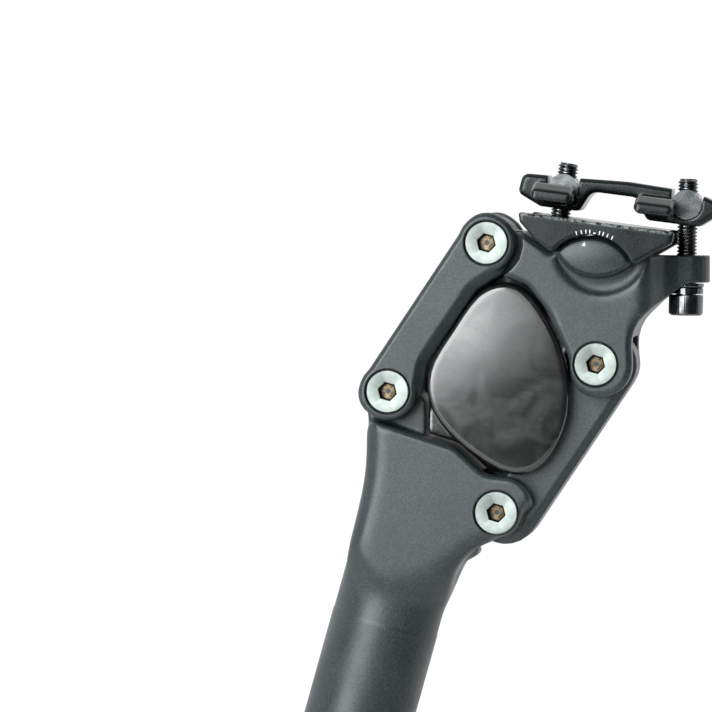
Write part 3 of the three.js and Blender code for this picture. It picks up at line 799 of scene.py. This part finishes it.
for number, angle in enumerate(TICK_ANGLES, start=1):
    radial_mark(f"tilt_mark_{number}", angle, 13.75, 14.9, 0.3)
radial_mark("tilt_mark_centre", 0, 13.8, 14.2, 0.75)
mark("tilt_pointer", POINTER, [POINTER_BASE + boss_crown(x, z) for x, z in POINTER], "head")

# ---------------------------------------------------------------- stage, camera and light


CAMERA_AZIMUTH = 7.0
CAMERA_ELEVATION = 1.75
COOL_WHITE = (0.96, 1.0, 1.0)


def add_stage(name, bm, colour, roughness, glow=0.0, glow_colour=COOL_WHITE):
    """A floor or a light panel, which isn't part of the object."""
    mesh = from_bmesh(name, bm)
    obj = bpy.data.objects.new(name, mesh)
    bpy.context.scene.collection.objects.link(obj)
    material, _, surface = shader(name)
    surface.inputs["Base Color"].default_value = (*colour, 1)
    surface.inputs["Roughness"].default_value = roughness
    surface.inputs["Emission Color"].default_value = (*glow_colour, 1)
    surface.inputs["Emission Strength"].default_value = glow
    mesh.materials.append(material)
    return obj


def stage_floor():
    bm = bmesh.new()
    bmesh.ops.create_circle(bm, cap_ends=True, segments=96, radius=1.1)
    floor = add_stage("floor", bm, (0.9, 0.9, 0.9), 0.9)
    floor.location = (0, 0, -0.012)


def aimed(obj, place_at, target, up):
    """Points an object's -Z at a target, with its +Y towards up."""
    back = (place_at - target).normalized()
    right = up.cross(back).normalized()
    true_up = back.cross(right)
    rotation = Matrix((right, true_up, back)).transposed().to_4x4()
    obj.matrix_world = Matrix.Translation(place_at) @ rotation


def level_direction(azimuth, elevation):
    """A direction in the level frame, in degrees: azimuth from the left side towards the rear."""
    a, e = math.radians(azimuth), math.radians(elevation)
    return (
        LEVEL_REAR * (math.sin(a) * math.cos(e))
        - SIDEWAYS * (math.cos(a) * math.cos(e))
        + LEVEL_UP * math.sin(e)
    )


def add_camera():
    distance, view_width, sensor = 1.5, 0.2085, 36.0
    data = bpy.data.cameras.new("camera")
    data.sensor_width = sensor
    data.lens = sensor * distance / view_width
    camera = bpy.data.objects.new("camera", data)
    bpy.context.scene.collection.objects.link(camera)
    target = level(-11.3, 9.7)
    aimed(camera, target + level_direction(CAMERA_AZIMUTH, CAMERA_ELEVATION) * distance, target, LEVEL_UP)
    bpy.context.scene.camera = camera


def add_panel(name, corners, distance, radiance):
    """A glowing sheet whose corners are given as (azimuth, elevation) in degrees, seen from the linkage.

    A camera further out on the same side has it in the way of the object.
    """
    target = level(25, 0)
    bm = bmesh.new()
    bm.faces.new([bm.verts.new(target + level_direction(*corner) * distance) for corner in corners])
    add_stage(name, bm, (0, 0, 0), 0.5, glow=radiance)


def add_world():
    """A white world, dark on the camera's side, so that edges catch the light and faces stay dark.

    The camera itself sees this world as plain white.
    """
    white, bright, dim = (1.0, 1.0, 1.0), (0.95, 0.98, 1.0), (0.05, 0.055, 0.06)
    world = bpy.data.worlds.new("studio")
    bpy.context.scene.world = world
    world.use_nodes = True
    tree = world.node_tree
    background = tree.nodes["Background"]
    direction = node(tree, "ShaderNodeTexCoord").outputs["Generated"]
    facing = node(tree, "ShaderNodeVectorMath", operation="DOT_PRODUCT")
    tree.links.new(direction, facing.inputs[0])
    facing.inputs[1].default_value = level_direction(CAMERA_AZIMUTH, CAMERA_ELEVATION)
    share = maths(tree, "MULTIPLY_ADD", facing.outputs["Value"], 0.5, 0.5)
    light = ramp(tree, share, [(0.0, white), (0.4, bright), (0.62, dim)])
    seen = node(tree, "ShaderNodeLightPath").outputs["Is Camera Ray"]
    tree.links.new(mixed(tree, seen, light, white), background.inputs["Color"])
    background.inputs["Strength"].default_value = 1.05


stage_floor()
add_camera()
add_world()
add_panel("left_softbox", [(-45, -15), (-5.4, 2), (-5.4, 40), (-45, 40)], 1.6, 9.0)
add_panel("right_softbox", [(-4.6, 2.3), (16, 11), (16, 40), (-4.6, 40)], 1.6, 1.9)
bpy.context.scene.view_settings.view_transform = "Standard"
